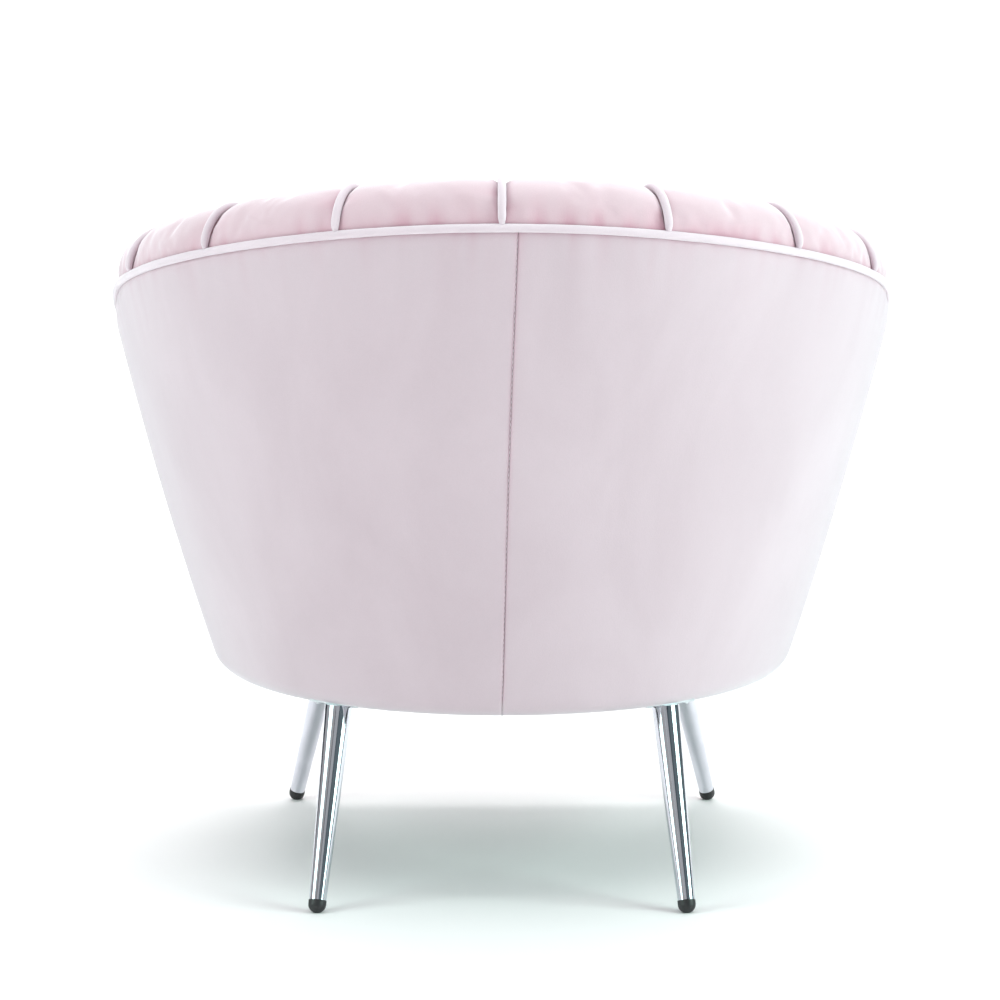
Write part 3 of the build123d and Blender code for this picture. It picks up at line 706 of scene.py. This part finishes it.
# ---- materials --------------------------------------------------------------------------------------
def material(name):
    """A new material, its shader, and short ways to add noise, ramps, mixes, bump and roughness to it."""
    mat = bpy.data.materials.new(name)
    mat.use_nodes = True
    nodes, links = mat.node_tree.nodes, mat.node_tree.links
    shader = nodes["Principled BSDF"]
    place = nodes.new("ShaderNodeTexCoord").outputs["Object"]

    def noise_node(scale, detail=3.0, rough=0.5, stretch=None, distortion=0.0):
        tex = nodes.new("ShaderNodeTexNoise")
        tex.inputs["Scale"].default_value = scale
        tex.inputs["Detail"].default_value = detail
        tex.inputs["Roughness"].default_value = rough
        tex.inputs["Distortion"].default_value = distortion
        if stretch:
            mapping = nodes.new("ShaderNodeMapping")
            mapping.inputs["Scale"].default_value = stretch
            links.new(place, mapping.inputs["Vector"])
            links.new(mapping.outputs["Vector"], tex.inputs["Vector"])
        else:
            links.new(place, tex.inputs["Vector"])
        return tex.outputs["Fac"]

    def ramp(value, stops):
        node = nodes.new("ShaderNodeValToRGB")
        links.new(value, node.inputs["Fac"])
        for element, (at, colour) in zip(node.color_ramp.elements, stops):
            element.position, element.color = at, (*colour, 1.0)
        return node.outputs["Color"]

    def mix(a, b, share, mode="MIX"):
        node = nodes.new("ShaderNodeMix")
        node.data_type, node.blend_type = "RGBA", mode
        node.inputs["Factor"].default_value = share
        links.new(a, node.inputs["A"])
        links.new(b, node.inputs["B"])
        return node.outputs["Result"]

    def bump(values):
        normal = None
        for value, strength, distance in values:
            node = nodes.new("ShaderNodeBump")
            node.inputs["Strength"].default_value = strength
            node.inputs["Distance"].default_value = distance
            links.new(value, node.inputs["Height"])
            if normal:
                links.new(normal, node.inputs["Normal"])
            normal = node.outputs["Normal"]
        links.new(normal, shader.inputs["Normal"])

    def rough(value, low, high):
        node = nodes.new("ShaderNodeMapRange")
        node.inputs["To Min"].default_value, node.inputs["To Max"].default_value = low, high
        links.new(value, node.inputs["Value"])
        links.new(node.outputs["Result"], shader.inputs["Roughness"])

    return mat, shader, links, noise_node, ramp, mix, bump, rough


def velvet(name, deep, light, sheen, nap):
    """Short pile: soft patches where the pile leans another way, a fine nap and an edge sheen.

    Where the pile is flattened into a seam, and where painted shade falls in the creases and folds, the
    colour is deeper and pinker.
    """
    mat, shader, links, tex, ramp, mix, bump, rough = material(name)
    patches = tex(7.0, 4.0, 0.55, stretch=(1.0, 1.0, 0.55), distortion=0.6)
    grain = tex(900.0, 2.0, 0.6)
    streaks = tex(60.0, 3.0, 0.6, stretch=(1.0, 1.0, 0.25))
    broad = ramp(patches, [(0.32, deep), (0.68, light)])
    fine = ramp(grain, [(0.30, tuple(c * 0.90 for c in light)), (0.70, light)])
    # The point value deepens the colour: flattened pile, and painted shade in creases, seams and folds.
    pile_and_shade_node = mat.node_tree.nodes.new("ShaderNodeAttribute")
    pile_and_shade_node.attribute_name = "crush_and_shade"
    crushed_and_shaded = ramp(pile_and_shade_node.outputs["Fac"], [(0.0, (1.0, 1.0, 1.0)), (1.0, CRUSHED_AND_SHADED)])
    links.new(mix(mix(broad, fine, 0.35), crushed_and_shaded, 1.0, "MULTIPLY"), shader.inputs["Base Color"])
    rough(streaks, 0.62, 0.80)
    shader.inputs["Sheen Weight"].default_value = sheen
    shader.inputs["Sheen Roughness"].default_value = 0.5
    shader.inputs["Sheen Tint"].default_value = (0.96, 0.98, 1.0, 1.0)
    shader.inputs["Specular IOR Level"].default_value = 0.25
    dimples = tex(26.0, 3.0, 0.5, stretch=(1.0, 1.0, 0.4))
    bump([(dimples, 0.10, 0.004), (streaks, 0.10, 0.001), (grain, nap, 0.0006)])
    return mat


# Colour multiplier for flattened pile and painted crease shade.
CRUSHED_AND_SHADED = (0.92, 0.71, 0.77)
velvet_mat = velvet("velvet", (0.500, 0.393, 0.435), (0.576, 0.465, 0.510), 0.8, 0.30)
# The pads' copy of the velvet is deeper and pinker: partly painted shade for light passed between the pads in
# their creases, partly a pile brushed another way.
pad_brushed_and_shaded_mat = velvet("velvet brushed down, shaded deeper", (0.550, 0.39, 0.433), (0.635, 0.473, 0.52), 1.0, 0.30)
piping_mat = velvet("piping velvet", (0.60, 0.485, 0.535), (0.68, 0.57, 0.62), 1.0, 0.25)

chrome_mat, shader, links, tex, ramp, mix, bump, rough = material("polished chrome")
tint = ramp(tex(40.0, 2.0), [(0.3, (0.60, 0.62, 0.67)), (0.7, (0.66, 0.68, 0.73))])
links.new(tint, shader.inputs["Base Color"])
shader.inputs["Metallic"].default_value = 1.0
rough(tex(180.0, 3.0, 0.6, stretch=(1, 1, 0.2)), 0.05, 0.11)
bump([(tex(9.0, 1.0), 0.01, 0.002)])

plastic_mat, shader, links, tex, ramp, mix, bump, rough = material("black plastic")
tint = ramp(tex(300.0, 2.0), [(0.3, (0.010, 0.010, 0.011)), (0.7, (0.022, 0.022, 0.024))])
links.new(tint, shader.inputs["Base Color"])
rough(tex(700.0, 3.0), 0.38, 0.55)
bump([(tex(1400.0, 2.0), 0.15, 0.0003)])

zinc_mat, shader, links, tex, ramp, mix, bump, rough = material("zinc plate")
tint = ramp(tex(90.0, 4.0, 0.7), [(0.3, (0.42, 0.43, 0.45)), (0.7, (0.62, 0.63, 0.66))])
links.new(tint, shader.inputs["Base Color"])
shader.inputs["Metallic"].default_value = 1.0
rough(tex(160.0, 3.0, 0.6), 0.28, 0.50)
bump([(tex(600.0, 2.0), 0.10, 0.0003)])

wire_mat, shader, links, tex, ramp, mix, bump, rough = material("spring wire")
tint = ramp(tex(120.0, 3.0, 0.6), [(0.3, (0.10, 0.10, 0.11)), (0.7, (0.24, 0.24, 0.25))])
links.new(tint, shader.inputs["Base Color"])
shader.inputs["Metallic"].default_value = 1.0
rough(tex(300.0, 2.0), 0.35, 0.55)


def timber(name, dark, pale, stretch):
    """Grain with flecks; stretch sets the grain's direction."""
    mat, shader, links, tex, ramp, mix, bump, rough = material(name)
    grain = tex(38.0, 6.0, 0.65, stretch=stretch, distortion=1.2)
    fleck = tex(420.0, 3.0, 0.6, stretch=stretch)
    broad, fine = ramp(grain, [(0.35, dark), (0.65, pale)]), ramp(fleck, [(0.35, dark), (0.6, pale)])
    links.new(mix(broad, fine, 0.3), shader.inputs["Base Color"])
    rough(fleck, 0.55, 0.75)
    bump([(grain, 0.15, 0.0008)])
    return mat


timber_mat = timber("birch", (0.42, 0.27, 0.14), (0.66, 0.49, 0.30), (0.2, 1.0, 3.0))
board_mat = timber("fibreboard", (0.20, 0.12, 0.07), (0.33, 0.22, 0.13), (1.0, 1.0, 1.0))


def cloth(name, dark, pale, thread):
    """Plain weave: two crossed sets of threads."""
    mat, shader, links, tex, ramp, mix, bump, rough = material(name)
    warp = tex(thread, 2.0, 0.5, stretch=(1.0, 0.06, 0.3))
    weft = tex(thread, 2.0, 0.5, stretch=(0.06, 1.0, 0.3))
    tones = [(0.3, dark), (0.7, pale)]
    links.new(mix(ramp(warp, tones), ramp(weft, tones), 0.5), shader.inputs["Base Color"])
    rough(warp, 0.8, 0.95)
    bump([(warp, 0.25, 0.0004), (weft, 0.25, 0.0004)])
    return mat


cambric_mat = cloth("black cambric", (0.010, 0.010, 0.012), (0.030, 0.030, 0.034), 1500.0)
lining_mat = cloth("seat lining", (0.50, 0.42, 0.46), (0.66, 0.57, 0.61), 1100.0)

for piece in soft:
    piece.data.materials.append(velvet_mat if piece.name.startswith("outer_cover") else pad_brushed_and_shaded_mat)
for piece in pipings:
    piece.data.materials.append(piping_mat)
deck.data.materials.append(lining_mat)
dust.data.materials.append(cambric_mat)

# CAD nodes that keep their shape, by the record's slot.
CARRIED = {
    "chrome": chrome_mat, "black_plastic": plastic_mat, "zinc_steel": zinc_mat,
    "spring_steel": wire_mat, "timber": timber_mat, "board": board_mat,
}
for entry in frame["record"]["subparts"]:
    node = frame["nodes"][entry["node"]]
    mat = CARRIED.get(entry["material_slot"])
    if mat:
        node.data.materials.clear()
        node.data.materials.append(mat)

# ---- floor, light and camera ------------------------------------------------------------------------
FLOOR_REACH, COVE_Y, COVE_R, COVE_HALF, COVE_TOP = 12.0, -2.2, 1.2, 1.8, 5.0
profile = [(FLOOR_REACH, 0.0), (COVE_Y, 0.0)]
for a in np.radians(np.linspace(4, 90, 20)):
    profile.append((COVE_Y - COVE_R * math.sin(a), COVE_R * (1 - math.cos(a))))
profile.append((COVE_Y - COVE_R, COVE_TOP))
verts = []
for side in (-1, 1):
    verts += [(side * (FLOOR_REACH if z == 0 else COVE_HALF), y, z - 0.0002) for y, z in profile]
n = len(profile)
floor_mesh = bpy.data.meshes.new("floor")
floor_mesh.from_pydata(verts, [], [(i, i + n, i + n + 1, i + 1) for i in range(n - 1)])
floor_mesh.polygons.foreach_set("use_smooth", [True] * len(floor_mesh.polygons))
floor = link("studio_floor", floor_mesh)
floor_mat, shader, links, tex, ramp, mix, bump, rough = material("studio paper")
tint = ramp(tex(3.0, 2.0), [(0.3, (0.93, 0.91, 0.91)), (0.7, (0.95, 0.93, 0.93))])
links.new(tint, shader.inputs["Base Color"])
rough(tex(500.0, 2.0), 0.85, 0.95)
# Far from the chair the paper glows: emission rising from nothing at 2 m to 0.85 at 4.5 m, painted light
# standing in for a studio cove's own lamps.
far = floor_mat.node_tree.nodes.new("ShaderNodeVectorMath")
far.operation = "LENGTH"
links.new(floor_mat.node_tree.nodes["Texture Coordinate"].outputs["Object"], far.inputs[0])
painted_glow = floor_mat.node_tree.nodes.new("ShaderNodeMapRange")
for socket, value in (("From Min", 2.0), ("From Max", 4.5), ("To Min", 0.0), ("To Max", 0.85)):
    painted_glow.inputs[socket].default_value = value
links.new(far.outputs["Value"], painted_glow.inputs["Value"])
links.new(painted_glow.outputs["Result"], shader.inputs["Emission Strength"])
shader.inputs["Emission Color"].default_value = (1.0, 1.0, 1.0, 1.0)
floor_mesh.materials.append(floor_mat)

world = bpy.data.worlds.new("studio")
bpy.context.scene.world = world
world.use_nodes = True
background = world.node_tree.nodes["Background"]
background.inputs["Strength"].default_value = 0.47
# Glossy rays see dark and light studio flags round the chair; the camera sees plain white.
way = world.node_tree.nodes.new("ShaderNodeTexCoord").outputs["Generated"]
turn = world.node_tree.nodes.new("ShaderNodeTexGradient")
turn.gradient_type = "RADIAL"
world.node_tree.links.new(way, turn.inputs["Vector"])
flags = world.node_tree.nodes.new("ShaderNodeValToRGB")
world.node_tree.links.new(turn.outputs["Fac"], flags.inputs["Fac"])
NAVY, TEAL = (0.02, 0.03, 0.05), (0.32, 0.40, 0.43)
GREY, WHITE = (0.45, 0.45, 0.54), (1.0, 1.0, 1.0)
FLAGS = ((0.0, TEAL), (0.12, TEAL), (0.16, GREY), (0.34, GREY), (0.38, NAVY), (0.42, NAVY), (0.46, WHITE),
         (0.68, WHITE), (0.70, NAVY), (0.78, NAVY), (0.81, TEAL), (1.0, TEAL))
for at, _ in FLAGS[2:]:
    flags.color_ramp.elements.new(at)
for stop, (at, colour) in zip(flags.color_ramp.elements, FLAGS):
    stop.position, stop.color = at, (*colour, 1.0)
ray = world.node_tree.nodes.new("ShaderNodeLightPath")


def chosen(kind, otherwise, colour):
    """The studio's colour for one kind of ray, and another for the rest."""
    node = world.node_tree.nodes.new("ShaderNodeMix")
    node.data_type = "RGBA"
    world.node_tree.links.new(ray.outputs[kind], node.inputs["Factor"])
    for socket, source in (("A", otherwise), ("B", colour)):
        if isinstance(source, tuple):
            node.inputs[socket].default_value = source
        else:
            world.node_tree.links.new(source, node.inputs[socket])
    return node.outputs["Result"]


reflected = chosen("Is Glossy Ray", (0.87, 0.82, 0.89, 1.0), flags.outputs["Color"])
seen = chosen("Is Camera Ray", reflected, (2.0, 2.0, 2.0, 1.0))
world.node_tree.links.new(seen, background.inputs["Color"])


def lamp(name, at, target, size, power, colour=(1.0, 1.0, 1.0)):
    """A soft rectangular lamp, aimed at a point."""
    light = bpy.data.lights.new(name, "AREA")
    light.shape, light.size, light.size_y = "RECTANGLE", size[0], size[1]
    light.energy, light.color = power, colour
    holder = link(name, light)
    holder.location = at
    holder.rotation_euler = (Vector(target) - Vector(at)).to_track_quat("-Z", "Y").to_euler()


COOL = (0.76, 1.0, 0.93)
lamp("overhead", (0.0, -0.2, 3.0), (0, 0, 0.4), (3.2, 3.2), 58)
lamp("side_left", (2.7, 1.5, 1.5), (0, 0, 0.4), (1.6, 2.4), 56, COOL)
lamp("side_right", (-2.8, 1.2, 1.5), (0, 0, 0.4), (1.6, 2.4), 88, COOL)
lamp("fill", (0.3, 4.2, 1.9), (0, 0, 0.4), (2.4, 1.6), 6)
lamp("backdrop", (0.0, -1.6, 3.6), (0, -3.4, 1.2), (4.0, 1.0), 60)

camera_data = bpy.data.cameras.new("camera")
camera_data.lens, camera_data.sensor_width = 103.2, 36.0
camera_data.shift_x = -0.002
camera_data.clip_end = 50
camera = link("camera", camera_data)
camera.location = (0.0, CENTRE_Y + 3.0, 0.687)
camera.rotation_euler = (math.radians(90 - 6.3), 0.0, math.radians(180))
bpy.context.scene.camera = camera
bpy.context.scene.view_settings.view_transform = "Standard"
